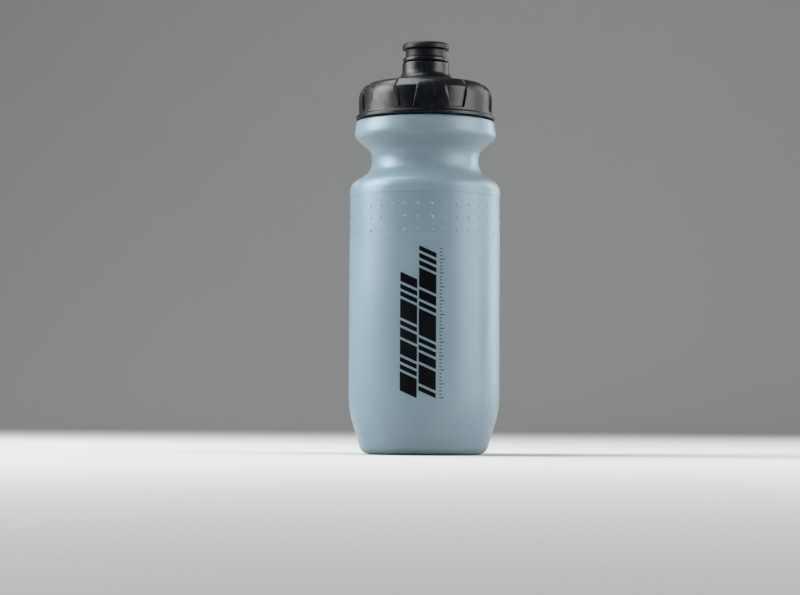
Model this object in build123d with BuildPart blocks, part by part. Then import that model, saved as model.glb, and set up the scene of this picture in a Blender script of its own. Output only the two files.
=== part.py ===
"""Squeeze water bottle for a bicycle bottle cage, with a screw cap and a push-pull drinking nozzle.

Millimetres. The origin is the centre of the circle the bottle stands on, and +Z runs up its axis.
The front of the bottle faces -Y. The cap is screwed down and the nozzle is pushed shut.
"""

import math
import os

from build123d import *

# --- Bottle body: a thin blow-moulded shell, from the foot up -------------------------------------
body_radius = 36.9
body_wall = 1.2
base_radius = 30.3
base_fillet = 5.0
bevel_height = 21.8
bevel_fillet = 36.0
push_up_radius = 23.0
push_up_depth = 2.2
push_up_fillet = 2.0
shoulder_height = 131.8
shoulder_fillet = 6.4
shoulder_slope_height = 6.2
waist_radius = 26.2
waist_length = 9.8
waist_lower_fillet = 8.7
waist_upper_fillet = 7.5
bulge_slope_height = 7.2
bulge_overhang = 1.0
bulge_fillet = 3.5
collar_length = 8.0
collar_step = 5.0
collar_fillet = 1.2
neck_radius = 28.9
neck_fillet = 0.8

# Grip band: a shallow recess round the body with rows of raised dots
band_width = 20.2
band_below_shoulder = 6.0
band_depth = 0.2
band_groove_clearance = 1.0
dot_rows = 3
dots_per_row = 36
dot_pitch = 6.1
dot_first_row = 1.9
dot_radius = 0.85
dot_height = 0.35

# Screw thread shared by the neck and the cap
thread_pitch = 6.0
thread_turns = 1.25
thread_root_width = 2.4
thread_crest_width = 1.2
neck_tooth_height = 1.3
cap_tooth_height = 1.1
thread_clearance = 0.3
tooth_sink = 0.4
thread_rise = 4.6
thread_run_out = 2.0
cap_thread_lead_angle = 90

# Screw cap
cap_gap = 0.6
cap_wall = 2.3
lip_overhang = 1.3
lip_height = 1.7
crown_rise = 2.3
crown_fillet = 8.0
crown_slope = 9.5
roof_wall = 1.8
cavity_fillet = 1.5
edge_round = 0.5
recess_count = 8
recess_turn = 27.8
recess_depth = 1.1
recess_rise = 3.6
recess_bottom_width = 7.8
recess_top_width = 12.8
recess_chamfer_drop = 3.2

# Gasket between the cap and the mouth of the bottle
gasket_thickness = 1.2
seal_skirt_wall = 1.2
seal_skirt_depth = 2.0
seal_skirt_clearance = 0.5

# Sleeve of the nozzle slider, and the spout tower of the cap that it slides in
sleeve_radius = 9.37
sleeve_wall = 1.4
running_clearance = 0.08
bead_step = 0.53
bead_clearance = 0.1
bead_height = 1.0
seal_height = 1.6
seal_depth = 0.65
tower_wall = 1.5
tower_height = 7.8
tower_flare = 5.0
tower_lip_height = 1.5
nozzle_gap = 0.2

# Valve post: the plug pin that shuts the nozzle, on a ribbed ring pressed into the cap
post_seat_rise = 1.6
post_ring_height = 2.2
post_ring_overlap = 0.6
post_ring_wall = 2.0
post_collar_wall = 1.4
rib_count = 3
rib_width = 1.6
pin_radius = 2.3
plug_radius = 3.4
plug_height = 2.2

# Upper part of the slider, its soft mouthpiece and the self-sealing valve
nozzle_ring_step = 0.3
nozzle_ring_height = 2.4
nozzle_ring_fillet = 0.9
orifice_rise = 2.0
orifice_height = 1.8
stem_step = 0.57
stem_wall = 1.6
stem_height = 6.0
anchor_bead = 0.5
anchor_height = 1.2
neck_cover_wall = 1.1
neck_cover_height = 3.9
flange_overhang = 1.7
flange_height = 3.3
flange_fillet = 1.9
valve_rim_width = 1.6
valve_rim_thickness = 1.0
valve_dome_height = 1.6
valve_skin = 0.7
slit_width = 0.3
slit_length = 6.0
retainer_height = 2.2
retainer_wall = 1.3
retainer_chamfer = 0.6

# --- Heights that follow from the sizes above -----------------------------------------------------
waist_bottom = shoulder_height + shoulder_slope_height
waist_top = waist_bottom + waist_length
bulge_height = waist_top + bulge_slope_height
collar_height = bulge_height + collar_length
neck_thread_start = collar_height + thread_rise
mouth_height = neck_thread_start + thread_pitch * thread_turns + thread_run_out
band_top = shoulder_height - band_below_shoulder
band_bottom = band_top - band_width

cap_bottom = collar_height + cap_gap
roof_underside = mouth_height + gasket_thickness
seal_skirt_bottom = mouth_height - seal_skirt_depth
crown_height = roof_underside + crown_rise
post_seat_height = roof_underside + post_seat_rise
post_bottom = post_seat_height - post_ring_height

# --- Radii that follow from the sizes above -------------------------------------------------------
collar_radius = neck_radius + collar_step
bulge_radius = collar_radius + bulge_overhang
neck_bore_radius = neck_radius - body_wall
cap_bore_radius = neck_radius + neck_tooth_height + thread_clearance
skirt_radius = cap_bore_radius + cap_wall
lip_radius = skirt_radius + lip_overhang
seal_skirt_radius = neck_bore_radius - seal_skirt_clearance
gasket_bore_radius = seal_skirt_radius - seal_skirt_wall

bead_radius = sleeve_radius + bead_step
sleeve_bore_radius = sleeve_radius - sleeve_wall
groove_radius = sleeve_radius - seal_depth
tower_bore_radius = bead_radius + bead_clearance
tower_lip_radius = sleeve_radius + running_clearance
tower_radius = tower_bore_radius + tower_wall
post_ring_radius = tower_bore_radius + post_ring_overlap
orifice_radius = plug_radius + running_clearance
nozzle_ring_radius = tower_radius - nozzle_ring_step
stem_radius = sleeve_radius - stem_step
valve_chamber_radius = stem_radius - stem_wall
outlet_radius = valve_chamber_radius - valve_rim_width
neck_cover_radius = stem_radius + neck_cover_wall
flange_radius = neck_cover_radius + flange_overhang

# The top of the cap is a shallow cone that rises from the crown to the foot of the tower
cone_rise = math.tan(math.radians(crown_slope))
tower_foot = crown_height + (skirt_radius - tower_radius) * cone_rise
tower_top = tower_foot + tower_height
dome_edge_height = crown_height - roof_wall + (skirt_radius - gasket_bore_radius) * cone_rise

sleeve_bottom = post_seat_height + nozzle_gap
seal_bottom = sleeve_bottom + bead_height
seal_top = seal_bottom + seal_height
nozzle_ring_bottom = tower_top + nozzle_gap
nozzle_ring_top = nozzle_ring_bottom + nozzle_ring_height
orifice_bottom = nozzle_ring_bottom + orifice_rise
orifice_top = orifice_bottom + orifice_height
stem_top = nozzle_ring_top + stem_height
flange_bottom = nozzle_ring_top + neck_cover_height
nozzle_top = flange_bottom + flange_height
anchor_bottom = flange_bottom + anchor_bead
plug_bottom = orifice_bottom - nozzle_gap
plug_top = plug_bottom + plug_height
valve_rim_top = orifice_top + valve_rim_thickness


def ring_section(inner, outer, bottom, top):
    """Return a rectangular ring section in the XZ plane, ready to revolve about Z."""
    with BuildSketch(Plane.XZ) as section:
        with Locations(((inner + outer) / 2, (bottom + top) / 2)):
            Rectangle(outer - inner, top - bottom)
    return section.sketch


def sphere_through(half_width, height):
    """Return the radius of the sphere whose cap has this half width and height."""
    return (half_width**2 + height**2) / (2 * height)


def thread_tooth(start_height, start_angle, root_radius, outward, tooth_height):
    """Return one helical tooth that stands outward (1) or inward (-1) from root_radius."""
    with BuildPart() as tooth:
        with BuildLine() as path:
            Helix(thread_pitch, thread_pitch * thread_turns, root_radius, center=(0, 0, start_height))
        with BuildSketch(Plane(path.line @ 0, x_dir=(outward, 0, 0), z_dir=path.line % 0)):
            with BuildLine():
                Polyline(
                    (-tooth_sink, -thread_root_width / 2),
                    (tooth_height, -thread_crest_width / 2),
                    (tooth_height, thread_crest_width / 2),
                    (-tooth_sink, thread_root_width / 2),
                    close=True,
                )
            make_face()
        sweep(path=path.line, is_frenet=True)
    return tooth.part.rotate(Axis.Z, start_angle)


# --- Bottle body ----------------------------------------------------------------------------------
neck_tooth = thread_tooth(neck_thread_start, 0, neck_radius, 1, neck_tooth_height)

with BuildSketch(Plane.XZ) as bottle_section:
    with BuildLine():
        FilletPolyline(
            (0, push_up_depth),
            (push_up_radius, push_up_depth),
            (push_up_radius + push_up_depth, 0),
            (base_radius, 0),
            (body_radius, bevel_height),
            (body_radius, shoulder_height),
            (waist_radius, waist_bottom),
            (waist_radius, waist_top),
            (bulge_radius, bulge_height),
            (collar_radius, collar_height),
            (neck_radius, collar_height),
            (neck_radius, mouth_height),
            radius=(
                push_up_fillet,
                push_up_fillet,
                base_fillet,
                bevel_fillet,
                shoulder_fillet,
                waist_lower_fillet,
                waist_upper_fillet,
                bulge_fillet,
                collar_fillet,
                neck_fillet,
            ),
        )
        Polyline((neck_radius, mouth_height), (0, mouth_height), (0, push_up_depth))
    make_face()

# The inside follows the outside, one wall thickness in
with BuildSketch(Plane.XZ) as cavity_section:
    add(bottle_section.sketch_local)
    mirror(about=Plane.YZ)
    offset(amount=-body_wall, mode=Mode.REPLACE)
    # The neck is open at the mouth
    with Locations((0, (collar_height + mouth_height) / 2)):
        Rectangle(2 * neck_bore_radius, mouth_height - collar_height)
    split(bisect_by=Plane.YZ)

with BuildPart() as bottle_body:
    revolve(bottle_section.sketch, axis=Axis.Z)
    revolve(cavity_section.sketch, axis=Axis.Z, mode=Mode.SUBTRACT)
    # The grip band is set back a little from the wall, and its dots stand on it
    band_radius = body_radius - band_depth
    revolve(
        ring_section(band_radius, body_radius + band_groove_clearance, band_bottom, band_top),
        axis=Axis.Z,
        mode=Mode.SUBTRACT,
    )
    dot_sphere_radius = sphere_through(dot_radius, dot_height)
    dot_orbit = band_radius + dot_height - dot_sphere_radius
    for row in range(dot_rows):
        with Locations(Plane.XY.offset(band_bottom + dot_first_row + row * dot_pitch)):
            with PolarLocations(dot_orbit, dots_per_row, start_angle=180 / dots_per_row):
                Sphere(dot_sphere_radius)
    add(neck_tooth)

# --- Screw cap ------------------------------------------------------------------------------------
# The cap's tooth runs in the neck's groove, half a pitch below the neck's tooth
cap_thread_start = neck_thread_start - thread_pitch / 2 + thread_pitch * cap_thread_lead_angle / 360
cap_tooth = thread_tooth(cap_thread_start, cap_thread_lead_angle, cap_bore_radius, -1, cap_tooth_height)

with BuildSketch(Plane.XZ) as cap_section:
    with BuildLine():
        FilletPolyline(
            (0, cap_bottom),
            (lip_radius, cap_bottom),
            (lip_radius, cap_bottom + lip_height),
            (skirt_radius, cap_bottom + lip_height + lip_overhang / 2),
            (skirt_radius, crown_height),
            (tower_radius, tower_foot),
            (tower_radius, tower_top),
            (0, tower_top),
            radius=(edge_round, edge_round, edge_round, crown_fillet, tower_flare, edge_round),
        )
        Line((0, tower_top), (0, cap_bottom))
    make_face()

with BuildSketch(Plane.XZ) as cap_cavity_section:
    with BuildLine():
        FilletPolyline(
            (0, cap_bottom),
            (cap_bore_radius, cap_bottom),
            (cap_bore_radius, roof_underside),
            (gasket_bore_radius, roof_underside),
            (gasket_bore_radius, dome_edge_height),
            (tower_radius, tower_foot - roof_wall),
            (0, tower_foot - roof_wall),
            radius=(0, cavity_fillet, 0, edge_round, 0),
        )
        Line((0, tower_foot - roof_wall), (0, cap_bottom))
    make_face()

# One recess: all that lies outside its curved floor, cut down to a prism that narrows downwards
with BuildPart() as recess_cutter:
    recess_floor = skirt_radius - recess_depth
    recess_bottom = cap_bottom + recess_rise
    chamfer_start = crown_height - recess_chamfer_drop
    with BuildSketch(Plane.XZ):
        with BuildLine():
            Polyline(
                (recess_floor, recess_bottom),
                (recess_floor, chamfer_start),
                (recess_floor - crown_fillet, chamfer_start + crown_fillet),
                (recess_floor + crown_fillet, chamfer_start + crown_fillet),
                (recess_floor + crown_fillet, recess_bottom),
                close=True,
            )
        make_face()
    revolve(axis=Axis.Z)
    with BuildSketch(Plane.XZ.offset(tower_radius)):
        with BuildLine():
            Polyline(
                (-recess_bottom_width / 2, recess_bottom),
                (recess_bottom_width / 2, recess_bottom),
                (recess_top_width / 2, crown_height),
                (-recess_top_width / 2, crown_height),
                close=True,
            )
        make_face()
    extrude(amount=lip_radius, mode=Mode.INTERSECT)

with BuildPart() as screw_cap:
    revolve(cap_section.sketch, axis=Axis.Z)
    revolve(cap_cavity_section.sketch, axis=Axis.Z, mode=Mode.SUBTRACT)
    # Collar under the roof that the valve post is pressed into
    revolve(
        ring_section(0, post_ring_radius + post_collar_wall, post_bottom, tower_foot),
        axis=Axis.Z,
    )
    revolve(
        ring_section(0, post_ring_radius, post_bottom, post_seat_height),
        axis=Axis.Z,
        mode=Mode.SUBTRACT,
    )
    # Bore of the tower, with a lip at its top that stops the slider's bead
    revolve(
        ring_section(0, tower_bore_radius, post_seat_height, tower_top - tower_lip_height),
        axis=Axis.Z,
        mode=Mode.SUBTRACT,
    )
    revolve(
        ring_section(0, tower_lip_radius, tower_top - tower_lip_height, tower_top),
        axis=Axis.Z,
        mode=Mode.SUBTRACT,
    )
    with PolarLocations(0, recess_count, start_angle=recess_turn):
        add(recess_cutter.part, mode=Mode.SUBTRACT)
    add(cap_tooth)

# --- Cap gasket -----------------------------------------------------------------------------------
# A flat ring lies on the mouth, and a skirt hangs from it into the neck
with BuildPart() as cap_gasket:
    revolve(ring_section(gasket_bore_radius, neck_radius, mouth_height, roof_underside), axis=Axis.Z)
    revolve(
        ring_section(gasket_bore_radius, seal_skirt_radius, seal_skirt_bottom, roof_underside),
        axis=Axis.Z,
    )

# --- Valve post -----------------------------------------------------------------------------------
with BuildPart() as valve_post:
    revolve(
        ring_section(post_ring_radius - post_ring_wall, post_ring_radius, post_bottom, post_seat_height),
        axis=Axis.Z,
    )
    with BuildSketch(Plane.XY.offset(post_bottom)):
        with PolarLocations(post_ring_radius / 2, rib_count, start_angle=90):
            Rectangle(post_ring_radius - post_ring_wall / 2, rib_width)
    extrude(amount=post_ring_height)
    with BuildSketch(Plane.XZ):
        with BuildLine():
            FilletPolyline(
                (0, post_bottom),
                (pin_radius, post_bottom),
                (pin_radius, plug_bottom - plug_radius + pin_radius),
                (plug_radius, plug_bottom),
                (plug_radius, plug_top),
                (0, plug_top),
                radius=(0, edge_round, 0, edge_round),
            )
            Line((0, plug_top), (0, post_bottom))
        make_face()
    revolve(axis=Axis.Z)

# --- Nozzle slider --------------------------------------------------------------------------------
# The anchor bead on the stem locks the soft mouthpiece to the slider
anchor_section = ring_section(
    stem_radius - anchor_bead,
    stem_radius + anchor_bead,
    anchor_bottom,
    anchor_bottom + anchor_height,
)

with BuildPart() as nozzle_slider:
    with BuildSketch(Plane.XZ):
        with BuildLine():
            Polyline(
                (sleeve_bore_radius, sleeve_bottom),
                (bead_radius, sleeve_bottom),
                (bead_radius, seal_bottom),
                (groove_radius, seal_bottom),
                (groove_radius, seal_top),
                (bead_radius, seal_top),
                (bead_radius, seal_top + bead_height),
                (sleeve_radius, seal_top + bead_height),
                (sleeve_radius, nozzle_ring_bottom),
                (nozzle_ring_radius, nozzle_ring_bottom),
                (nozzle_ring_radius, nozzle_ring_top),
                (stem_radius, nozzle_ring_top),
                (stem_radius, stem_top),
                (valve_chamber_radius, stem_top),
                (valve_chamber_radius, orifice_top),
                (orifice_radius, orifice_top),
                (orifice_radius, orifice_bottom),
                (sleeve_bore_radius, orifice_bottom),
                close=True,
            )
        make_face()
        fillet(vertices().group_by(Axis.X)[-1], nozzle_ring_fillet)
    revolve(axis=Axis.Z)
    revolve(anchor_section, axis=Axis.Z)

# --- Nozzle seal ----------------------------------------------------------------------------------
with BuildPart() as nozzle_seal:
    with BuildSketch(Plane.XZ):
        with Locations(((groove_radius + bead_radius) / 2, (seal_bottom + seal_top) / 2)):
            Rectangle(bead_radius - groove_radius, seal_height)
        fillet(vertices().group_by(Axis.X)[-1], edge_round)
    revolve(axis=Axis.Z)

# --- Flow valve -----------------------------------------------------------------------------------
with BuildPart() as flow_valve:
    revolve(
        ring_section(outlet_radius, valve_chamber_radius, orifice_top, valve_rim_top),
        axis=Axis.Z,
    )
    # The dome is a slice of a hollow sphere that springs from the rim
    dome_sphere_radius = sphere_through(outlet_radius, valve_dome_height)
    with Locations((0, 0, valve_rim_top + valve_dome_height - dome_sphere_radius)):
        Sphere(dome_sphere_radius)
        Sphere(dome_sphere_radius - valve_skin, mode=Mode.SUBTRACT)
    split(bisect_by=Plane.XY.offset(orifice_top))
    with BuildSketch(Plane.XY.offset(orifice_top)):
        Rectangle(slit_length, slit_width)
        Rectangle(slit_width, slit_length)
    extrude(amount=valve_rim_thickness + valve_dome_height, mode=Mode.SUBTRACT)

# --- Valve retainer -------------------------------------------------------------------------------
with BuildPart() as valve_retainer:
    with BuildSketch(Plane.XZ):
        with Locations((valve_chamber_radius - retainer_wall / 2, valve_rim_top + retainer_height / 2)):
            Rectangle(retainer_wall, retainer_height)
        chamfer(vertices().sort_by(Axis.X)[:2].sort_by(Axis.Y)[-1], retainer_chamfer)
    revolve(axis=Axis.Z)

# --- Nozzle mouthpiece ----------------------------------------------------------------------------
with BuildPart() as nozzle_mouthpiece:
    with BuildSketch(Plane.XZ):
        with BuildLine():
            FilletPolyline(
                (outlet_radius, stem_top),
                (stem_radius, stem_top),
                (stem_radius, nozzle_ring_top),
                (neck_cover_radius, nozzle_ring_top),
                (neck_cover_radius, flange_bottom),
                (flange_radius, flange_bottom),
                (flange_radius, nozzle_top),
                (outlet_radius, nozzle_top),
                close=True,
                radius=(0, 0, 0, 0, edge_round, edge_round, flange_fillet, edge_round),
            )
        make_face()
    revolve(axis=Axis.Z)
    revolve(anchor_section, axis=Axis.Z, mode=Mode.SUBTRACT)

# --- Write each piece -----------------------------------------------------------------------------
pieces = {
    "bottle_body": bottle_body.part,
    "screw_cap": screw_cap.part,
    "cap_gasket": cap_gasket.part,
    "valve_post": valve_post.part,
    "nozzle_slider": nozzle_slider.part,
    "nozzle_seal": nozzle_seal.part,
    "flow_valve": flow_valve.part,
    "valve_retainer": valve_retainer.part,
    "nozzle_mouthpiece": nozzle_mouthpiece.part,
}
os.makedirs("parts", exist_ok=True)
for name, part in pieces.items():
    part.label = name
    export_step(part, f"parts/{name}.step")
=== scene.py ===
"""Looks of a squeeze water bottle for a bicycle cage: milky shell, black screw cap, push-pull nozzle."""

from __future__ import annotations

import logging
import math
from dataclasses import dataclass, field
from enum import Enum
from typing import Sequence

import bpy
import numpy as np
from mathutils import Matrix, Vector


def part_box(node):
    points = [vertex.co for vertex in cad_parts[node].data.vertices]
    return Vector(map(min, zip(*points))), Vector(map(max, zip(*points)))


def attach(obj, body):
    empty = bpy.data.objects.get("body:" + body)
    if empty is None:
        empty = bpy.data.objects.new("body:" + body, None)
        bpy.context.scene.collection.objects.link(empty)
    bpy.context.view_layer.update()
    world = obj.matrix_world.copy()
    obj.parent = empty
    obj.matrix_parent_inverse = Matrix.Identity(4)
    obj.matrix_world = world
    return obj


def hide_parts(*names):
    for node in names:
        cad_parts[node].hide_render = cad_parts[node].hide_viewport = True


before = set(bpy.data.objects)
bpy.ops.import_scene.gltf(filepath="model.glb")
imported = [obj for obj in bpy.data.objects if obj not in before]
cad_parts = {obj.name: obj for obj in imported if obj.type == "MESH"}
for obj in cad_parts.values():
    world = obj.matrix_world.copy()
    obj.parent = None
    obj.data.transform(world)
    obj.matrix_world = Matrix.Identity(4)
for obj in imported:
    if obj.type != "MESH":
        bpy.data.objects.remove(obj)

LOG = logging.getLogger("water_bottle")
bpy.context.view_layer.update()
MM = 0.001
MERGE_DISTANCE = 0.000002
FRONT = -90.0

Colour = tuple[float, float, float, float]
OutlinePoint = tuple[float, float]


class Body(Enum):
    """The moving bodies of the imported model."""

    BOTTLE = "bottle"
    SEAL = "seal"
    CAP = "cap"
    NOZZLE = "nozzle"


class Slot(Enum):
    """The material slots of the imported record."""

    BOTTLE = "bottle_ldpe"
    CAP = "cap_pp"
    NOZZLE = "nozzle_pp"
    MOUTHPIECE = "mouthpiece_tpe"
    SILICONE = "silicone"
    GASKET = "gasket_rubber"


def foot_of(node: str) -> float:
    """Return the lowest height of a CAD node, in millimetres."""
    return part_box(node)[0].z / MM


def top_of(node: str) -> float:
    """Return the greatest height of a CAD node, in millimetres."""
    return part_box(node)[1].z / MM


# --- Turned outlines ------------------------------------------------------------------------------
@dataclass(frozen=True)
class Corner:
    """A corner of a turned outline, in millimetres: distance from the axis, height and fillet."""

    radius: float
    height: float
    fillet: float = 0.0


def rounded_outline(
    corners: Sequence[Corner], closed: bool = False, arc_step: float = 12.0
) -> list[OutlinePoint]:
    """Turn corners into outline points, with an arc at each corner that has a fillet.

    Args:
        corners: The corners in order, in millimetres.
        closed: Whether the last corner joins the first.
        arc_step: The largest turn between two points of an arc, in degrees.

    Returns:
        The points as (radius, height), in millimetres.
    """
    points: list[OutlinePoint] = []
    count = len(corners)
    for index, corner in enumerate(corners):
        here = Vector((corner.radius, corner.height))
        is_end = not closed and index in (0, count - 1)
        if corner.fillet == 0.0 or is_end:
            points.append((here.x, here.y))
            continue
        before = corners[index - 1]
        after = corners[(index + 1) % count]
        back = (Vector((before.radius, before.height)) - here).normalized()
        ahead = (Vector((after.radius, after.height)) - here).normalized()
        turn = math.pi - back.angle(ahead)
        reach = corner.fillet * math.tan(turn / 2)
        centre = here + (back + ahead).normalized() * corner.fillet / math.cos(turn / 2)
        start = here + back * reach - centre
        sweep = start.angle_signed(here + ahead * reach - centre)
        steps = max(2, math.ceil(math.degrees(turn) / arc_step))
        for step in range(steps + 1):
            arm = start.copy()
            arm.rotate(Matrix.Rotation(-sweep * step / steps, 2))
            points.append((centre.x + arm.x, centre.y + arm.y))
    return points


# --- Modelling by hand ----------------------------------------------------------------------------
def begin_piece(name: str) -> bpy.types.Object:
    """Start a piece as one vertex at the origin and leave it selected in edit mode.

    Args:
        name: The name of the new piece.

    Returns:
        The new object.
    """
    bpy.ops.object.select_all(action="DESELECT")
    bpy.ops.mesh.primitive_plane_add(size=MM, location=(0, 0, 0))
    piece = bpy.context.object
    piece.name = name
    piece.data.name = name
    bpy.ops.object.mode_set(mode="EDIT")
    bpy.ops.mesh.select_mode(type="VERT")
    bpy.ops.mesh.select_all(action="SELECT")
    bpy.ops.mesh.merge(type="CENTER")
    return piece


def edit_only(piece: bpy.types.Object) -> None:
    """Select one piece alone and enter edit mode with nothing selected in it.

    Args:
        piece: The piece to edit.
    """
    bpy.ops.object.select_all(action="DESELECT")
    piece.select_set(True)
    bpy.context.view_layer.objects.active = piece
    bpy.ops.object.mode_set(mode="EDIT")
    bpy.ops.mesh.select_all(action="DESELECT")


def leave_edit() -> None:
    """Go back to object mode."""
    bpy.ops.object.mode_set(mode="OBJECT")


def turn_piece(
    name: str,
    outline: Sequence[OutlinePoint],
    columns: int,
    closed: bool,
    start_azimuth: float = 0.0,
) -> bpy.types.Object:
    """Draw an outline point by point and spin it once round the Z axis.

    Args:
        name: The name of the new piece.
        outline: The points as (radius, height), in millimetres.
        columns: How many steps the spin takes.
        closed: Whether the outline is a loop rather than a line that starts and ends on the axis.
        start_azimuth: The angle of the drawn outline round Z, in degrees.

    Returns:
        The new piece, with its normals outward.
    """
    piece = begin_piece(name)
    azimuth = math.radians(start_azimuth)
    along = Vector((math.cos(azimuth), math.sin(azimuth), 0)) * MM
    places = [along * radius + Vector((0, 0, height * MM)) for radius, height in outline]
    bpy.ops.transform.translate(value=places[0])
    for here, there in zip(places, places[1:]):
        bpy.ops.mesh.extrude_region_move(TRANSFORM_OT_translate={"value": there - here})
    if closed:
        leave_edit()
        edit_only(piece)
        leave_edit()
        for end in (0, -1):
            piece.data.vertices[end].select = True
        bpy.ops.object.mode_set(mode="EDIT")
        bpy.ops.mesh.edge_face_add()
    bpy.ops.mesh.select_all(action="SELECT")
    bpy.ops.mesh.spin(
        steps=columns, angle=2 * math.pi, center=(0, 0, 0), axis=(0, 0, 1), use_auto_merge=True
    )
    bpy.ops.mesh.select_all(action="SELECT")
    bpy.ops.mesh.remove_doubles(threshold=MERGE_DISTANCE)
    bpy.ops.mesh.normals_make_consistent(inside=False)
    leave_edit()
    return piece


def polar(points: np.ndarray) -> tuple[np.ndarray, np.ndarray]:
    """Return the distance from Z and the azimuth in degrees of points given as rows."""
    return np.hypot(points[:, 0], points[:, 1]), np.degrees(np.arctan2(points[:, 1], points[:, 0]))


def face_centres(piece: bpy.types.Object) -> np.ndarray:
    """Return the centre of each face of a piece.

    Args:
        piece: The piece to measure.

    Returns:
        One row of X, Y and Z for each face, in millimetres.
    """
    centres = np.empty(len(piece.data.polygons) * 3)
    piece.data.polygons.foreach_get("center", centres)
    return centres.reshape(-1, 3) / MM


def vertex_places(piece: bpy.types.Object) -> np.ndarray:
    """Return the place of each vertex of a piece.

    Args:
        piece: The piece to measure.

    Returns:
        One row of X, Y and Z for each vertex, in millimetres.
    """
    places = np.empty(len(piece.data.vertices) * 3)
    piece.data.vertices.foreach_get("co", places)
    return places.reshape(-1, 3) / MM


def move_vertices(piece: bpy.types.Object, places: np.ndarray) -> None:
    """Give each vertex of a piece a new place, in millimetres."""
    piece.data.vertices.foreach_set("co", (places * MM).ravel())
    piece.data.update()


def select_faces(piece: bpy.types.Object, chosen: np.ndarray) -> None:
    """Select the chosen faces of a piece and nothing else, and enter edit mode in face mode.

    Args:
        piece: The piece to edit.
        chosen: True for each face to select.
    """
    edit_only(piece)
    bpy.ops.mesh.select_mode(type="FACE")
    leave_edit()
    piece.data.polygons.foreach_set("select", chosen)
    bpy.ops.object.mode_set(mode="EDIT")


def apply_modifier(piece: bpy.types.Object, kind: str, **settings: object) -> None:
    """Add a modifier to a piece and apply it.

    Args:
        piece: The piece to change.
        kind: The modifier's type name.
        settings: The modifier's properties.
    """
    bpy.ops.object.select_all(action="DESELECT")
    piece.select_set(True)
    bpy.context.view_layer.objects.active = piece
    modifier = piece.modifiers.new(kind.title(), kind)
    for key, value in settings.items():
        setattr(modifier, key, value)
    bpy.ops.object.modifier_apply(modifier=modifier.name)


def smooth(piece: bpy.types.Object, angle: float = 32.0) -> None:
    """Shade a piece smooth, with a hard edge where its faces meet sharply.

    Args:
        piece: The piece to shade.
        angle: The angle past which an edge is hard, in degrees.
    """
    bpy.ops.object.select_all(action="DESELECT")
    piece.select_set(True)
    bpy.context.view_layer.objects.active = piece
    bpy.ops.object.shade_smooth_by_angle(angle=math.radians(angle))


def join_into(piece: bpy.types.Object, others: Sequence[bpy.types.Object]) -> None:
    """Join other objects into a piece, which keeps its name.

    Args:
        piece: The piece that stays.
        others: The objects that become part of it.
    """
    bpy.ops.object.select_all(action="DESELECT")
    for other in others:
        other.select_set(True)
    piece.select_set(True)
    bpy.context.view_layer.objects.active = piece
    bpy.ops.object.join()


def dress(piece: bpy.types.Object, material: bpy.types.Material) -> None:
    """Give a piece one material in all its slots.

    Args:
        piece: The piece to dress.
        material: The material for all its faces.
    """
    if not piece.data.materials:
        piece.data.materials.append(material)
    for index in range(len(piece.data.materials)):
        piece.data.materials[index] = material


# --- Screw thread ---------------------------------------------------------------------------------
@dataclass(frozen=True)
class ScrewTooth:
    """One helical tooth that stands on a round wall, in millimetres and degrees."""

    root_radius: float
    start_height: float
    outward: int
    tooth_height: float
    start_azimuth: float = 0.0
    pitch: float = 6.0
    turns: float = 1.25
    root_width: float = 2.4
    crest_width: float = 1.2
    sink: float = 0.3
    steps: int = 120
    fade_steps: int = 8

    def build(self, name: str) -> bpy.types.Object:
        """Model the tooth's section as a four-sided loop and screw it round the axis.

        Args:
            name: The name of the new object.

        Returns:
            The tooth, closed and faded out at both ends.
        """
        foot = self.root_radius - self.outward * self.sink
        crest = self.root_radius + self.outward * self.tooth_height
        section = [
            (foot, -self.root_width / 2),
            (crest, -self.crest_width / 2),
            (crest, self.crest_width / 2),
            (foot, self.root_width / 2),
        ]
        tooth = begin_piece(name)
        azimuth = math.radians(self.start_azimuth)
        along = Vector((math.cos(azimuth), math.sin(azimuth), 0))
        places = [(along * r + Vector((0, 0, self.start_height + h))) * MM for r, h in section]
        bpy.ops.transform.translate(value=places[0])
        for here, there in zip(places, places[1:]):
            bpy.ops.mesh.extrude_region_move(TRANSFORM_OT_translate={"value": there - here})
        bpy.ops.mesh.select_all(action="SELECT")
        bpy.ops.mesh.edge_face_add()
        bpy.ops.mesh.delete(type="ONLY_FACE")
        leave_edit()
        apply_modifier(
            tooth,
            "SCREW",
            axis="Z",
            angle=2 * math.pi * self.turns,
            screw_offset=self.pitch * self.turns * MM,
            steps=self.steps,
            render_steps=self.steps,
            use_smooth_shade=True,
        )
        self.fade_ends(tooth, foot)
        edit_only(tooth)
        bpy.ops.mesh.select_all(action="SELECT")
        bpy.ops.mesh.remove_doubles(threshold=MERGE_DISTANCE)
        bpy.ops.mesh.select_all(action="DESELECT")
        bpy.ops.mesh.select_non_manifold()
        bpy.ops.mesh.edge_face_add()
        bpy.ops.mesh.select_all(action="SELECT")
        bpy.ops.mesh.normals_make_consistent(inside=False)
        leave_edit()
        return tooth

    def fade_ends(self, tooth: bpy.types.Object, foot: float) -> None:
        """Draw the crest back into the wall over the first and last steps.

        Args:
            tooth: The screwed tooth, its vertices in rings of four.
            foot: The radius that the crest fades to.
        """
        places = vertex_places(tooth)
        radius, azimuth = polar(places)
        climb = (places[:, 2] - self.start_height) / self.pitch
        turned = ((azimuth - self.start_azimuth) / 360.0) % 1.0
        along = np.round(climb - turned) + turned
        fade_turns = self.fade_steps * self.turns / self.steps
        share = np.clip(np.minimum(along, self.turns - along) / fade_turns, 0.0, 1.0)
        share = 0.12 + 0.88 * np.sin(share * math.pi / 2)
        scaled = (foot + (radius - foot) * share) / radius
        places[:, 0] *= scaled
        places[:, 1] *= scaled
        move_vertices(tooth, places)


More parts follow.
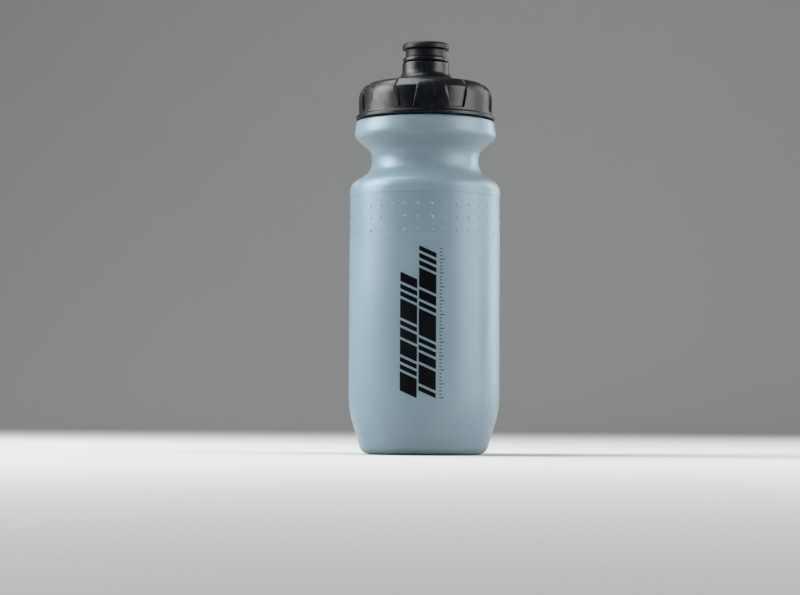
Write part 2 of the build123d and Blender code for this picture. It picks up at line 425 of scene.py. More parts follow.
# --- Shader node groups ---------------------------------------------------------------------------
class NodeTree:
    """A small helper that adds and links nodes in a material or a group."""

    def __init__(self, tree: bpy.types.NodeTree) -> None:
        """Work on the given tree."""
        self.tree = tree

    def add(
        self, kind: str, inputs: dict[str | int, object] | None = None, **settings: object
    ) -> bpy.types.Node:
        """Add a node, set its properties and feed its inputs.

        Args:
            kind: The node's type name.
            inputs: For each input, a plain value or the output socket that feeds it.
            settings: The node's properties.

        Returns:
            The new node.
        """
        node = self.tree.nodes.new(kind)
        for key, value in settings.items():
            setattr(node, key, value)
        for key, value in (inputs or {}).items():
            if isinstance(value, bpy.types.NodeSocket):
                self.tree.links.new(value, node.inputs[key])
            else:
                node.inputs[key].default_value = value
        return node

    def link(self, source: bpy.types.NodeSocket, target: bpy.types.NodeSocket) -> None:
        """Link one socket to another."""
        self.tree.links.new(source, target)


def new_group(
    name: str, inputs: dict[str, float], outputs: Sequence[str]
) -> tuple[NodeTree, bpy.types.Node, bpy.types.Node]:
    """Make an empty shader node group with a Vector input, number inputs and number outputs.

    Args:
        name: The group's name.
        inputs: Each number input with its default.
        outputs: The names of the number outputs.

    Returns:
        The helper for the group's tree, its input node and its output node.
    """
    group = bpy.data.node_groups.new(name, "ShaderNodeTree")
    group.interface.new_socket("Vector", in_out="INPUT", socket_type="NodeSocketVector")
    for label, default in inputs.items():
        socket = group.interface.new_socket(label, in_out="INPUT", socket_type="NodeSocketFloat")
        socket.default_value = default
    for label in outputs:
        group.interface.new_socket(label, in_out="OUTPUT", socket_type="NodeSocketFloat")
    tree = NodeTree(group)
    return tree, tree.add("NodeGroupInput"), tree.add("NodeGroupOutput")


def make_scuff_group() -> bpy.types.NodeTree:
    """Make the group of fine rubbed scuffs: short hair scratches, thicker in some patches.

    Returns:
        The node group, with outputs Scratches and Patches from 0 to 1.
    """
    tree, given, result = new_group("Fine scuffs", {"Density": 0.5, "Scale": 1.0}, ("Scratches", "Patches"))
    place = tree.add("ShaderNodeVectorMath", {0: given.outputs["Vector"]}, operation="SCALE")
    tree.link(given.outputs["Scale"], place.inputs["Scale"])
    warp = tree.add("ShaderNodeTexNoise", {"Vector": place.outputs[0], "Scale": 60.0, "Detail": 2.0})
    shift = tree.add(
        "ShaderNodeVectorMath",
        {0: warp.outputs["Color"], 1: (0.004, 0.004, 0.004)},
        operation="MULTIPLY",
    )
    warped = tree.add("ShaderNodeVectorMath", {0: place.outputs[0], 1: shift.outputs[0]}, operation="ADD")
    layers = []
    for turn, stretch in ((0.5, 16.0), (-0.9, 22.0), (1.5, 12.0)):
        mapped = tree.add(
            "ShaderNodeMapping",
            {
                "Vector": warped.outputs[0],
                "Rotation": (turn * 0.6, turn, turn * 0.4),
                "Scale": (1.0, 1.0, 1.0 / stretch),
            },
        )
        lines = tree.add(
            "ShaderNodeTexNoise", {"Vector": mapped.outputs[0], "Scale": 2800.0, "Detail": 0.0}
        )
        thin = tree.add(
            "ShaderNodeMapRange",
            {"Value": lines.outputs["Fac"], "From Min": 0.66, "From Max": 0.74},
        )
        layers.append(thin.outputs[0])
    both = tree.add("ShaderNodeMath", {0: layers[0], 1: layers[1]}, operation="MAXIMUM")
    lines_all = tree.add("ShaderNodeMath", {0: both.outputs[0], 1: layers[2]}, operation="MAXIMUM")
    cloud = tree.add(
        "ShaderNodeTexNoise",
        {"Vector": place.outputs[0], "Scale": 95.0, "Detail": 5.0, "Roughness": 0.62},
    )
    low = tree.add("ShaderNodeMath", {0: 0.78, 1: given.outputs["Density"]}, operation="SUBTRACT")
    high = tree.add("ShaderNodeMath", {0: low.outputs[0], 1: 0.22}, operation="ADD")
    patches = tree.add(
        "ShaderNodeMapRange",
        {"Value": cloud.outputs["Fac"], "From Min": low.outputs[0], "From Max": high.outputs[0]},
        interpolation_type="SMOOTHSTEP",
    )
    scratches = tree.add(
        "ShaderNodeMath", {0: lines_all.outputs[0], 1: patches.outputs[0]}, operation="MULTIPLY"
    )
    tree.link(scratches.outputs[0], result.inputs["Scratches"])
    tree.link(patches.outputs[0], result.inputs["Patches"])
    return tree.tree


def make_grain_group() -> bpy.types.NodeTree:
    """Make the group of moulded skin: a fine grain over a soft orange peel.

    Returns:
        The node group, with the output Height from 0 to 1.
    """
    scales = {"Grain scale": 2600.0, "Peel scale": 260.0, "Peel share": 0.5}
    tree, given, result = new_group("Moulded skin", scales, ("Height",))
    grain = tree.add(
        "ShaderNodeTexNoise",
        {"Vector": given.outputs["Vector"], "Detail": 3.0, "Roughness": 0.55},
    )
    tree.link(given.outputs["Grain scale"], grain.inputs["Scale"])
    peel = tree.add("ShaderNodeTexNoise", {"Vector": given.outputs["Vector"], "Detail": 1.0})
    tree.link(given.outputs["Peel scale"], peel.inputs["Scale"])
    mixed = tree.add("ShaderNodeMix", {2: grain.outputs["Fac"], 3: peel.outputs["Fac"]}, data_type="FLOAT")
    tree.link(given.outputs["Peel share"], mixed.inputs[0])
    tree.link(mixed.outputs[0], result.inputs["Height"])
    return tree.tree


def make_haze_group() -> bpy.types.NodeTree:
    """Make the group of uneven handling haze, a slow cloudy change over centimetres.

    Returns:
        The node group, with the output Haze from 0 to 1.
    """
    tree, given, result = new_group("Handling haze", {"Scale": 34.0}, ("Haze",))
    cloud = tree.add(
        "ShaderNodeTexNoise",
        {"Vector": given.outputs["Vector"], "Detail": 6.0, "Roughness": 0.58},
    )
    tree.link(given.outputs["Scale"], cloud.inputs["Scale"])
    level = tree.add(
        "ShaderNodeMapRange",
        {"Value": cloud.outputs["Fac"], "From Min": 0.3, "From Max": 0.7},
        interpolation_type="SMOOTHSTEP",
    )
    tree.link(level.outputs[0], result.inputs["Haze"])
    return tree.tree


@dataclass
class SurfaceEffects:
    """The shader node groups that the finishes share."""

    scuffs: bpy.types.NodeTree = field(default_factory=make_scuff_group)
    skin: bpy.types.NodeTree = field(default_factory=make_grain_group)
    haze: bpy.types.NodeTree = field(default_factory=make_haze_group)


@dataclass(frozen=True)
class Finish:
    """A moulded finish: colour, gloss, skin, haze and scuffs."""

    name: str
    colour: Colour
    rubbed_colour: Colour
    roughness: float
    haze_roughness: float = 0.08
    scratch_roughness: float = 0.2
    scratch_share: float = 0.55
    scratch_depth: float = 0.35
    scuff_density: float = 0.4
    scuff_scale: float = 1.0
    grain_scale: float = 2600.0
    peel_scale: float = 260.0
    peel_share: float = 0.5
    skin_depth: float = 0.00002
    haze_scale: float = 34.0
    haze_share: float = 0.25
    settings: tuple[tuple[str, object], ...] = ()

    def make(self, effects: SurfaceEffects) -> bpy.types.Material:
        """Build the material.

        Args:
            effects: The node groups that the finishes share.

        Returns:
            The new material.
        """
        material = bpy.data.materials.new(self.name)
        material.use_nodes = True
        tree = NodeTree(material.node_tree)
        shader = material.node_tree.nodes["Principled BSDF"]
        place = tree.add("ShaderNodeTexCoord").outputs["Object"]
        haze = self.group(tree, effects.haze, place, Scale=self.haze_scale)
        scuffs = self.group(tree, effects.scuffs, place, Density=self.scuff_density, Scale=self.scuff_scale)
        skin_values = {
            "Grain scale": self.grain_scale,
            "Peel scale": self.peel_scale,
            "Peel share": self.peel_share,
        }
        skin = self.group(tree, effects.skin, place, **skin_values)
        scratches = scuffs.outputs["Scratches"]
        hazed = tree.add(
            "ShaderNodeMath", {0: haze.outputs["Haze"], 1: self.haze_share}, operation="MULTIPLY"
        )
        rubbed = tree.add(
            "ShaderNodeMath", {0: scratches, 1: self.scratch_share}, operation="MULTIPLY"
        )
        wear = tree.add(
            "ShaderNodeMath",
            {0: hazed.outputs[0], 1: rubbed.outputs[0]},
            operation="ADD",
            use_clamp=True,
        )
        colour = tree.add(
            "ShaderNodeMix",
            {0: wear.outputs[0], 6: self.colour, 7: self.rubbed_colour},
            data_type="RGBA",
        )
        tree.link(colour.outputs[2], shader.inputs["Base Color"])
        rough_haze = tree.add(
            "ShaderNodeMath",
            {0: haze.outputs["Haze"], 1: self.haze_roughness, 2: self.roughness},
            operation="MULTIPLY_ADD",
        )
        rough = tree.add(
            "ShaderNodeMath",
            {0: scratches, 1: self.scratch_roughness, 2: rough_haze.outputs[0]},
            operation="MULTIPLY_ADD",
            use_clamp=True,
        )
        tree.link(rough.outputs[0], shader.inputs["Roughness"])
        cut = tree.add(
            "ShaderNodeMath", {0: scratches, 1: -self.scratch_depth}, operation="MULTIPLY"
        )
        height = tree.add(
            "ShaderNodeMath", {0: skin.outputs["Height"], 1: cut.outputs[0]}, operation="ADD"
        )
        bump = tree.add(
            "ShaderNodeBump", {"Height": height.outputs[0], "Distance": self.skin_depth}
        )
        tree.link(bump.outputs["Normal"], shader.inputs["Normal"])
        for socket, value in self.settings:
            shader.inputs[socket].default_value = value
        return material

    @staticmethod
    def group(
        tree: NodeTree, group: bpy.types.NodeTree, place: bpy.types.NodeSocket, **values: float
    ) -> bpy.types.Node:
        """Place a shared node group in a material with its own values.

        Args:
            tree: The material's tree.
            group: The shared node group.
            place: The coordinates that the group reads.
            values: The group's number inputs.

        Returns:
            The group node.
        """
        return tree.add("ShaderNodeGroup", {"Vector": place, **values}, node_tree=group)


MILKY_POLYETHYLENE = Finish(
    name="milky_polyethylene",
    colour=(0.505, 0.637, 0.72, 1.0),
    rubbed_colour=(0.64, 0.73, 0.775, 1.0),
    roughness=0.29,
    haze_roughness=0.10,
    scratch_share=0.12,
    scratch_depth=0.05,
    scratch_roughness=0.10,
    scuff_density=0.5,
    grain_scale=1500.0,
    peel_scale=170.0,
    peel_share=0.72,
    skin_depth=0.00005,
    haze_scale=22.0,
    haze_share=0.4,
    settings=(
        ("IOR", 1.5),
        ("Transmission Weight", 0.6),
        ("Subsurface Weight", 0.35),
        ("Subsurface Radius", (0.7, 0.9, 1.0)),
        ("Subsurface Scale", 0.004),
        ("Specular IOR Level", 0.5),
    ),
)
CAP_POLYPROPYLENE = Finish(
    name="black_cap_polypropylene",
    colour=(0.010, 0.0105, 0.0115, 1.0),
    rubbed_colour=(0.05, 0.051, 0.053, 1.0),
    roughness=0.285,
    haze_roughness=0.09,
    scuff_density=0.42,
    skin_depth=0.000035,
    haze_share=0.12,
    settings=(("Specular IOR Level", 0.7),),
)
NOZZLE_POLYPROPYLENE = Finish(
    name="black_nozzle_polypropylene",
    colour=(0.012, 0.0125, 0.0135, 1.0),
    rubbed_colour=(0.055, 0.056, 0.058, 1.0),
    roughness=0.28,
    haze_roughness=0.08,
    scuff_density=0.45,
    skin_depth=0.00002,
    haze_share=0.12,
    settings=(("Specular IOR Level", 0.7),),
)
SOFT_ELASTOMER = Finish(
    name="soft_black_elastomer",
    colour=(0.022, 0.0225, 0.0235, 1.0),
    rubbed_colour=(0.07, 0.071, 0.073, 1.0),
    roughness=0.42,
    haze_roughness=0.12,
    scuff_density=0.3,
    grain_scale=3400.0,
    peel_share=0.35,
    skin_depth=0.00003,
)
CLEAR_SILICONE = Finish(
    name="natural_silicone",
    colour=(0.62, 0.66, 0.68, 1.0),
    rubbed_colour=(0.78, 0.80, 0.81, 1.0),
    roughness=0.3,
    scuff_density=0.2,
    skin_depth=0.00002,
    settings=(
        ("Subsurface Weight", 0.4),
        ("Subsurface Radius", (1.0, 1.0, 1.0)),
        ("Subsurface Scale", 0.002),
    ),
)
GASKET_RUBBER = Finish(
    name="grey_gasket_rubber",
    colour=(0.16, 0.165, 0.17, 1.0),
    rubbed_colour=(0.28, 0.285, 0.29, 1.0),
    roughness=0.62,
    scuff_density=0.3,
    grain_scale=3200.0,
    skin_depth=0.00004,
)
BLACK_INK = Finish(
    name="black_screen_ink",
    colour=(0.004, 0.004, 0.0045, 1.0),
    rubbed_colour=(0.05, 0.055, 0.06, 1.0),
    roughness=0.36,
    haze_roughness=0.12,
    scuff_density=0.22,
    skin_depth=0.000015,
    haze_share=0.06,
)
GREY_INK = Finish(
    name="grey_screen_ink",
    colour=(0.10, 0.125, 0.145, 1.0),
    rubbed_colour=(0.2, 0.23, 0.26, 1.0),
    roughness=0.4,
    scuff_density=0.3,
    skin_depth=0.000015,
    haze_share=0.1,
)


# --- Bottle shell ---------------------------------------------------------------------------------
@dataclass
class BottleShell:
    """The blow-moulded bottle with its waist, dotted grip band and threaded neck, in millimetres."""

    body_radius: float = 36.9
    wall: float = 1.2
    base_radius: float = 30.3
    bevel_height: float = 21.8
    push_up_radius: float = 23.0
    push_up_depth: float = 2.2
    shoulder_height: float = 131.8
    waist_radius: float = 26.2
    waist_bottom: float = 138.0
    waist_top: float = 147.8
    bulge_radius: float = 34.9
    bulge_height: float = 155.0
    collar_radius: float = 33.9
    neck_radius: float = 28.9
    neck_length: float = 14.1
    mouth_height: float = field(default_factory=lambda: top_of("bottle_body"))
    band_bottom: float = 105.6
    band_top: float = 125.8
    band_depth: float = 0.2
    dot_rows: int = 3
    dots_per_row: int = 36
    dot_pitch: float = 6.1
    dot_first_row: float = 1.9
    dot_height: float = 0.35
    dot_margin: float = 0.06
    dot_corner: float = 0.44
    thread_below_mouth: float = 9.5
    thread_height: float = 1.3
    parting_inset: float = 0.62
    parting_depth: float = 0.05
    pinch_length: float = 38.0
    columns: int = 144

    @property
    def collar_height(self) -> float:
        """Return the height of the collar that the neck stands on."""
        return self.mouth_height - self.neck_length

    def dot_row_heights(self) -> list[float]:
        """Return the height of each row of dots."""
        first = self.band_bottom + self.dot_first_row
        return [first + row * self.dot_pitch for row in range(self.dot_rows)]

    def outer_corners(self) -> list[Corner]:
        """Return the outside of the bottle.

        Returns:
            The corners from the middle of the base to the mouth.
        """
        band = self.body_radius - self.band_depth
        corners = [
            Corner(0.0, self.push_up_depth),
            Corner(8.0, self.push_up_depth),
            Corner(self.push_up_radius, self.push_up_depth, 2.0),
            Corner(self.push_up_radius + self.push_up_depth, 0.0, 2.0),
            Corner(self.base_radius, 0.0, 5.0),
            Corner(self.body_radius, self.bevel_height, 36.0),
            Corner(self.body_radius, self.band_bottom),
            Corner(band, self.band_bottom + self.band_depth / 2),
        ]
        half_column = math.pi * band / self.columns
        for centre in self.dot_row_heights():
            corners.append(Corner(band, centre - half_column))
            corners.append(Corner(band, centre + half_column))
        corners += [
            Corner(band, self.band_top - self.band_depth / 2),
            Corner(self.body_radius, self.band_top),
            Corner(self.body_radius, self.shoulder_height, 6.4),
            Corner(self.waist_radius, self.waist_bottom, 8.7),
            Corner(self.waist_radius, self.waist_top, 7.5),
            Corner(self.bulge_radius, self.bulge_height, 3.5),
            Corner(self.collar_radius, self.collar_height, 1.2),
            Corner(self.neck_radius, self.collar_height, 0.8),
            Corner(self.neck_radius, self.mouth_height, 0.4),
        ]
        return corners

    def inner_corners(self) -> list[Corner]:
        """Return the inside of the bottle.

        Returns:
            The corners from the mouth down to the middle of the base.
        """
        wall = self.wall
        bore = self.neck_radius - wall
        return [
            Corner(bore, self.mouth_height, 0.4),
            Corner(bore, self.collar_height - wall, 0.8),
            Corner(self.collar_radius - wall, self.collar_height - wall, 0.4),
            Corner(self.bulge_radius - wall, self.bulge_height, 2.3),
            Corner(self.waist_radius - wall, self.waist_top, 8.7),
            Corner(self.waist_radius - wall, self.waist_bottom, 9.9),
            Corner(self.body_radius - wall, self.shoulder_height - wall * 0.4, 5.2),
            Corner(self.body_radius - wall, self.bevel_height, 34.8),
            Corner(self.base_radius - wall * 0.8, wall, 3.8),
            Corner(self.push_up_radius + self.push_up_depth + wall * 0.4, wall, 1.0),
            Corner(self.push_up_radius + wall * 0.4, self.push_up_depth + wall, 1.0),
            Corner(8.0, self.push_up_depth + wall),
            Corner(0.0, self.push_up_depth + wall),
        ]

    def raise_dots(self, piece: bpy.types.Object) -> None:
        """Inset one face at each dot of the grip band and pull it out into a low round dome.

        Args:
            piece: The turned bottle, with one square face where each dot goes.
        """
        step = 360.0 / self.dots_per_row
        rows = self.dot_row_heights()
        band = self.body_radius - self.band_depth

        def at_dots() -> np.ndarray:
            """Return which faces have their centre at a dot on the outside of the band."""
            centres = face_centres(piece)
            radius, azimuth = polar(centres)
            off = azimuth % step - step / 2
            in_row = np.min([np.abs(centres[:, 2] - row) for row in rows], axis=0) < 0.05
            return (np.abs(off) < 0.05) & in_row & (radius > band - 0.5)

        select_faces(piece, at_dots())
        bpy.ops.mesh.inset(thickness=self.dot_margin * MM, use_individual=True)
        bpy.ops.mesh.bevel(offset=self.dot_corner * MM, segments=1, affect="VERTICES")
        leave_edit()
        select_faces(piece, at_dots())
        steps = ((0.07, 5), (0.16, 14), (0.2, 10), (0.2, 5))
        whole = sum(part for _, part in steps)
        for thickness, part in steps:
            rise = self.dot_height * part / whole
            bpy.ops.mesh.inset(thickness=thickness * MM, depth=rise * MM, use_individual=True)
        leave_edit()

    def score_parting_line(self, piece: bpy.types.Object) -> None:
        """Sink a fine witness line of the mould halves up both sides, from the foot to the collar.

        Args:
            piece: The turned bottle, with a column of faces centred on each side.
        """
        centres = face_centres(piece)
        radius, azimuth = polar(centres)
        height = centres[:, 2]
        at_side = np.abs((azimuth + 90.0) % 180.0 - 90.0) < 0.05
        outside = (radius > self.waist_radius - self.wall / 2) & (radius > self.middle_of_wall(height))
        select_faces(piece, at_side & outside & (height > 1.0) & (height < self.collar_height - 1.5))
        bpy.ops.mesh.inset(thickness=self.parting_inset * MM, depth=-self.parting_depth * MM)
        leave_edit()

    def middle_of_wall(self, height: np.ndarray) -> np.ndarray:
        """Return the radius halfway through the side wall at each height.

        Args:
            height: The heights to measure at.

        Returns:
            The radius at each height.
        """
        narrowest = self.waist_radius - self.wall
        side = [
            (level, radius)
            for radius, level in rounded_outline(self.outer_corners())
            if level > 0.5 and radius > narrowest
        ]
        levels, radii = zip(*sorted(side))
        return np.interp(height, levels, radii) - self.wall / 2

    def pinch_line(self) -> bpy.types.Object:
        """Model the low weld where the mould pinched the base shut, across the push-up.

        Returns:
            The weld, a bar with bevelled edges.
        """
        bpy.ops.object.select_all(action="DESELECT")
        bpy.ops.mesh.primitive_cube_add(size=1.0)
        weld = bpy.context.object
        bpy.ops.object.mode_set(mode="EDIT")
        bpy.ops.mesh.select_all(action="SELECT")
        bpy.ops.transform.resize(value=(self.pinch_length * MM, 0.9 * MM, 0.8 * MM))
        bpy.ops.transform.translate(value=(0, 0, self.push_up_depth * MM))
        bpy.ops.mesh.bevel(offset=0.3 * MM, segments=2, affect="EDGES")
        leave_edit()
        return weld

    def build(self, effects: SurfaceEffects) -> bpy.types.Object:
        """Model the bottle and dress it.

        Args:
            effects: The node groups that the finishes share.

        Returns:
            The finished bottle.
        """
        outline = rounded_outline(self.outer_corners()) + rounded_outline(self.inner_corners())
        half_column = 180.0 / self.columns
        piece = turn_piece(
            "milky_bottle", outline, self.columns, closed=False, start_azimuth=half_column
        )
        self.score_parting_line(piece)
        self.raise_dots(piece)
        tooth = ScrewTooth(
            self.neck_radius, self.mouth_height - self.thread_below_mouth, 1, self.thread_height
        ).build("neck_thread")
        join_into(piece, [tooth, self.pinch_line()])
        smooth(piece)
        dress(piece, MILKY_POLYETHYLENE.make(effects))
        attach(piece, Body.BOTTLE.value)
        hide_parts("bottle_body")
        return piece


# --- Print on the bottle --------------------------------------------------------------------------
@dataclass
class PrintedGraphic:
    """Two bold columns of slanted bars and a fine column of dashes on the front, in millimetres."""

    wall_radius: float = 36.9
    ink_height: float = 0.02
    sink: float = 0.08
    bottom: float = 27.0
    slant: float = 0.45
    bar_gap: float = 1.3
    left_edge: float = -11.7
    column_width: float = 8.2
    column_gap: float = 0.9
    left_bars: tuple[float, ...] = (9.0, 2.2, 2.2, 7.0, 4.4, 2.2, 9.0, 2.2, 2.2, 4.4)
    right_bars: tuple[float, ...] = (2.2, 9.0, 4.4, 2.2, 2.2, 12.5, 2.2, 4.4, 9.0, 2.2, 2.2, 2.2)
    dash_edge: float = 7.3
    dash_width: float = 2.2
    dash_height: float = 0.45
    dash_count: int = 44
    dash_pitch: float = 1.65
    print_step: float = 1.1

    def plate(
        self, left: float, foot: float, width: float, height: float, slant: float
    ) -> bpy.types.Object:
        """Model one slanted plate of ink, wrapped round the wall and sunk a little into it.

        Args:
            left: Its left edge, measured along the wall from the middle of the front.
            foot: The height of its lower left corner.
            width: Its width along the wall.
            height: Its height.
            slant: How far it drops for each millimetre to the right.

        Returns:
            The closed plate.
        """
        bpy.ops.object.select_all(action="DESELECT")
        pieces_across = max(1, math.ceil(width / self.print_step))
        bpy.ops.mesh.primitive_grid_add(x_subdivisions=pieces_across, y_subdivisions=1, size=1.0)
        plate = bpy.context.object
        bpy.ops.object.mode_set(mode="EDIT")
        bpy.ops.mesh.select_all(action="SELECT")
        bpy.ops.mesh.extrude_region_move(TRANSFORM_OT_translate={"value": (0, 0, 1)})
        leave_edit()
        shares = vertex_places(plate) * MM
        along = left + (shares[:, 0] + 0.5) * width
        height_here = foot + (shares[:, 1] + 0.5) * height - slant * (along - left)
        radius = self.wall_radius - self.sink + shares[:, 2] * (self.sink + self.ink_height)
        azimuth = math.radians(FRONT) + along / self.wall_radius
        across, deep = radius * np.cos(azimuth), radius * np.sin(azimuth)
        move_vertices(plate, np.column_stack((across, deep, height_here)))
        edit_only(plate)
        bpy.ops.mesh.select_all(action="SELECT")
        bpy.ops.mesh.normals_make_consistent(inside=False)
        leave_edit()
        return plate

    def bar_column(self, left: float, bars: Sequence[float]) -> list[bpy.types.Object]:
        """Model a column of slanted bars.

        Args:
            left: The column's left edge.
            bars: The height of each bar, from the bottom up.

        Returns:
            The plates of the column.
        """
        plates = []
        foot = self.bottom + self.slant * self.column_width
        for height in bars:
            plates.append(self.plate(left, foot, self.column_width, height, self.slant))
            foot += height + self.bar_gap
        return plates

    def dash_column(self) -> list[bpy.types.Object]:
        """Model the fine column of dashes, longer ones at every fourth place.

        Returns:
            The plates of the column.
        """
        plates = []
        for index in range(self.dash_count):
            width = self.dash_width if index % 4 == 0 else self.dash_width * 0.55
            foot = self.bottom + index * self.dash_pitch
            plates.append(self.plate(self.dash_edge, foot, width, self.dash_height, 0.0))
        return plates

    def build(self, effects: SurfaceEffects) -> list[bpy.types.Object]:
        """Model the two inks and dress them.

        Args:
            effects: The node groups that the finishes share.

        Returns:
            The black bars and the grey dashes.
        """
        right_edge = self.left_edge + self.column_width + self.column_gap
        bars = self.bar_column(self.left_edge, self.left_bars)
        bars += self.bar_column(right_edge, self.right_bars)
        dashes = self.dash_column()
        for name, plates, finish in (
            ("printed_black_bars", bars, BLACK_INK),
            ("printed_grey_dashes", dashes, GREY_INK),
        ):
            join_into(plates[0], plates[1:])
            plates[0].name = name
            plates[0].data.name = name
            dress(plates[0], finish.make(effects))
            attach(plates[0], Body.BOTTLE.value)
        return [bars[0], dashes[0]]


# --- Screw cap ------------------------------------------------------------------------------------
@dataclass
class ScrewCap:
    """The black cap with eight finger recesses and the tower that guides the nozzle, in millimetres."""

    bottom: float = field(default_factory=lambda: foot_of("screw_cap"))
    tower_top: float = field(default_factory=lambda: top_of("screw_cap"))
    bore_radius: float = 30.5
    lip_radius: float = 34.1
    lip_height: float = 1.7
    skirt_radius: float = 32.8
    crown_rise: float = 17.0
    crown_fillet: float = 8.0
    tower_radius: float = 11.5
    tower_height: float = 7.8
    tower_flare: float = 5.0
    tower_lip_radius: float = 9.45
    tower_lip_height: float = 1.5
    tower_bore: float = 10.0
    post_seat_rise: float = 16.3
    post_radius: float = 10.6
    post_rise: float = 14.1
    collar_radius: float = 12.0
    roof_wall: float = 1.8
    roof_rise: float = 14.7
    dome_edge: float = 26.0
    recess_count: int = 8
    recess_azimuth: float = FRONT + 27.8
    recess_depth: float = 1.1
    recess_rise: float = 3.6
    recess_bottom_width: float = 7.8
    recess_top_rise: float = 17.7
    recess_top_width: float = 12.8
    chamfer_rise: float = 13.8
    recess_draft: float = 0.3
    edge_bevel: float = 0.28
    thread_rise: float = 2.5
    thread_height: float = 1.1
    columns: int = 192

    def __post_init__(self) -> None:
        """Work out the heights that the others stand on."""
        self.crown_height = self.bottom + self.crown_rise
        self.roof_underside = self.bottom + self.roof_rise
        self.recess_bottom = self.bottom + self.recess_rise
        self.recess_top = self.bottom + self.recess_top_rise
        self.post_seat = self.bottom + self.post_seat_rise
        self.post_bottom = self.bottom + self.post_rise
        self.tower_foot = self.tower_top - self.tower_height

    @property
    def roof_slope(self) -> float:
        """Return how much the roof rises for each millimetre inwards."""
        return (self.tower_foot - self.crown_height) / (self.skirt_radius - self.tower_radius)

    def corners(self) -> list[Corner]:
        """Return the closed section of the cap.

        Returns:
            The corners from the bottom of the bore outwards, over the top and back inside.
        """
        inside_foot = self.tower_foot - self.roof_wall
        dome_height = inside_foot - (self.dome_edge - self.tower_radius) * self.roof_slope
        return [
            Corner(self.bore_radius, self.bottom, 0.4),
            Corner(self.lip_radius, self.bottom, 0.5),
            Corner(self.lip_radius, self.bottom + self.lip_height, 0.5),
            Corner(self.skirt_radius, self.bottom + self.lip_height + 0.65, 0.5),
            Corner(self.skirt_radius, self.recess_bottom),
            Corner(self.skirt_radius, (self.recess_bottom + self.crown_height - self.crown_fillet) / 2),
            Corner(self.skirt_radius, self.crown_height, self.crown_fillet),
            Corner(self.tower_radius, self.tower_foot, self.tower_flare),
            Corner(self.tower_radius, self.tower_top, 0.5),
            Corner(self.tower_lip_radius, self.tower_top, 0.25),
            Corner(self.tower_lip_radius, self.tower_top - self.tower_lip_height),
            Corner(self.tower_bore, self.tower_top - self.tower_lip_height),
            Corner(self.tower_bore, self.post_seat),
            Corner(self.post_radius, self.post_seat),
            Corner(self.post_radius, self.post_bottom, 0.2),
            Corner(self.collar_radius, self.post_bottom, 0.4),
            Corner(self.collar_radius, inside_foot, 0.8),
            Corner(self.dome_edge, dome_height, 0.5),
            Corner(self.dome_edge, self.roof_underside, 0.4),
            Corner(self.bore_radius, self.roof_underside, 1.5),
        ]

    def half_angle(self, height: np.ndarray) -> np.ndarray:
        """Return half the width of a recess at each height.

        Args:
            height: The heights to measure at.

        Returns:
            The half widths, in degrees round the skirt.
        """
        share = np.clip((height - self.recess_bottom) / (self.crown_height - self.recess_bottom), 0.0, 1.0)
        width = self.recess_bottom_width + (self.recess_top_width - self.recess_bottom_width) * share
        return np.degrees(np.arcsin(width / 2 / self.skirt_radius))

    def offset_from_recess(self, azimuth: np.ndarray) -> np.ndarray:
        """Return how far each azimuth is from the middle of the nearest recess, in degrees."""
        sector = 360.0 / self.recess_count
        return (azimuth - self.recess_azimuth + sector / 2) % sector - sector / 2

    def on_outside(self, radius: np.ndarray, height: np.ndarray) -> np.ndarray:
        """Return which points lie on the skirt, the crown or the slope above, and not inside the cap.

        Args:
            radius: The points' distances from the axis.
            height: The points' heights.

        Returns:
            True for each point on the outside.
        """
        roof_top = self.crown_height + (self.skirt_radius - radius) * self.roof_slope
        roof_middle = roof_top - self.roof_wall / 2
        over_edge = self.roof_underside + self.roof_wall / 4
        above_roof = height > np.where(radius > self.dome_edge + 0.1, over_edge, roof_middle)
        return (radius > self.bore_radius + 0.6) | above_roof

    def lean_columns(self, piece: bpy.types.Object) -> None:
        """Slide the outer columns round so that the sides of the recesses lean together downwards.

        Args:
            piece: The turned cap, its columns evenly spaced.
        """
        places = vertex_places(piece)
        radius, azimuth = polar(places)
        outer = self.on_outside(radius, places[:, 2]) & (radius > self.tower_radius + self.tower_flare)
        offset = self.offset_from_recess(azimuth)
        even = float(self.half_angle(np.array([self.crown_height]))[0])
        half = self.half_angle(places[:, 2])
        limit = 180.0 / self.recess_count
        inside = np.abs(offset) <= even + 0.01
        within = offset * half / even
        beyond = np.sign(offset) * (half + (np.abs(offset) - even) * (limit - half) / (limit - even))
        leaned = np.where(inside, within, beyond)
        azimuth = np.where(outer, azimuth - offset + leaned, azimuth)
        places[:, 0] = radius * np.cos(np.radians(azimuth))
        places[:, 1] = radius * np.sin(np.radians(azimuth))
        move_vertices(piece, places)

    def sink_recesses(self, piece: bpy.types.Object) -> None:
        """Inset the faces of the eight recesses, sink them to their floor and bevel the sharp edges.

        Args:
            piece: The turned cap, its columns leaned to the recesses' sides.
        """
        centres = face_centres(piece)
        radius, azimuth = polar(centres)
        offset = np.abs(self.offset_from_recess(azimuth))
        height = centres[:, 2]
        chosen = (offset < self.half_angle(height)) & self.on_outside(radius, height)
        chosen &= (height > self.recess_bottom) & (height < self.recess_top)
        chosen &= radius > self.dome_edge + 0.5
        select_faces(piece, chosen)
        bpy.ops.mesh.inset(thickness=self.recess_draft * MM, depth=0.0)
        leave_edit()
        sunk = np.zeros(len(piece.data.vertices), bool)
        piece.data.vertices.foreach_get("select", sunk)
        places = vertex_places(piece)
        radius, azimuth = polar(places)
        above_chamfer = np.maximum(places[:, 2] - self.bottom - self.chamfer_rise, 0.0)
        floor = self.skirt_radius - self.recess_depth - above_chamfer
        target = np.where(sunk, np.minimum(radius, floor), radius)
        places[:, 0] *= target / radius
        places[:, 1] *= target / radius
        move_vertices(piece, places)
        self.bevel_recess_edges(piece)

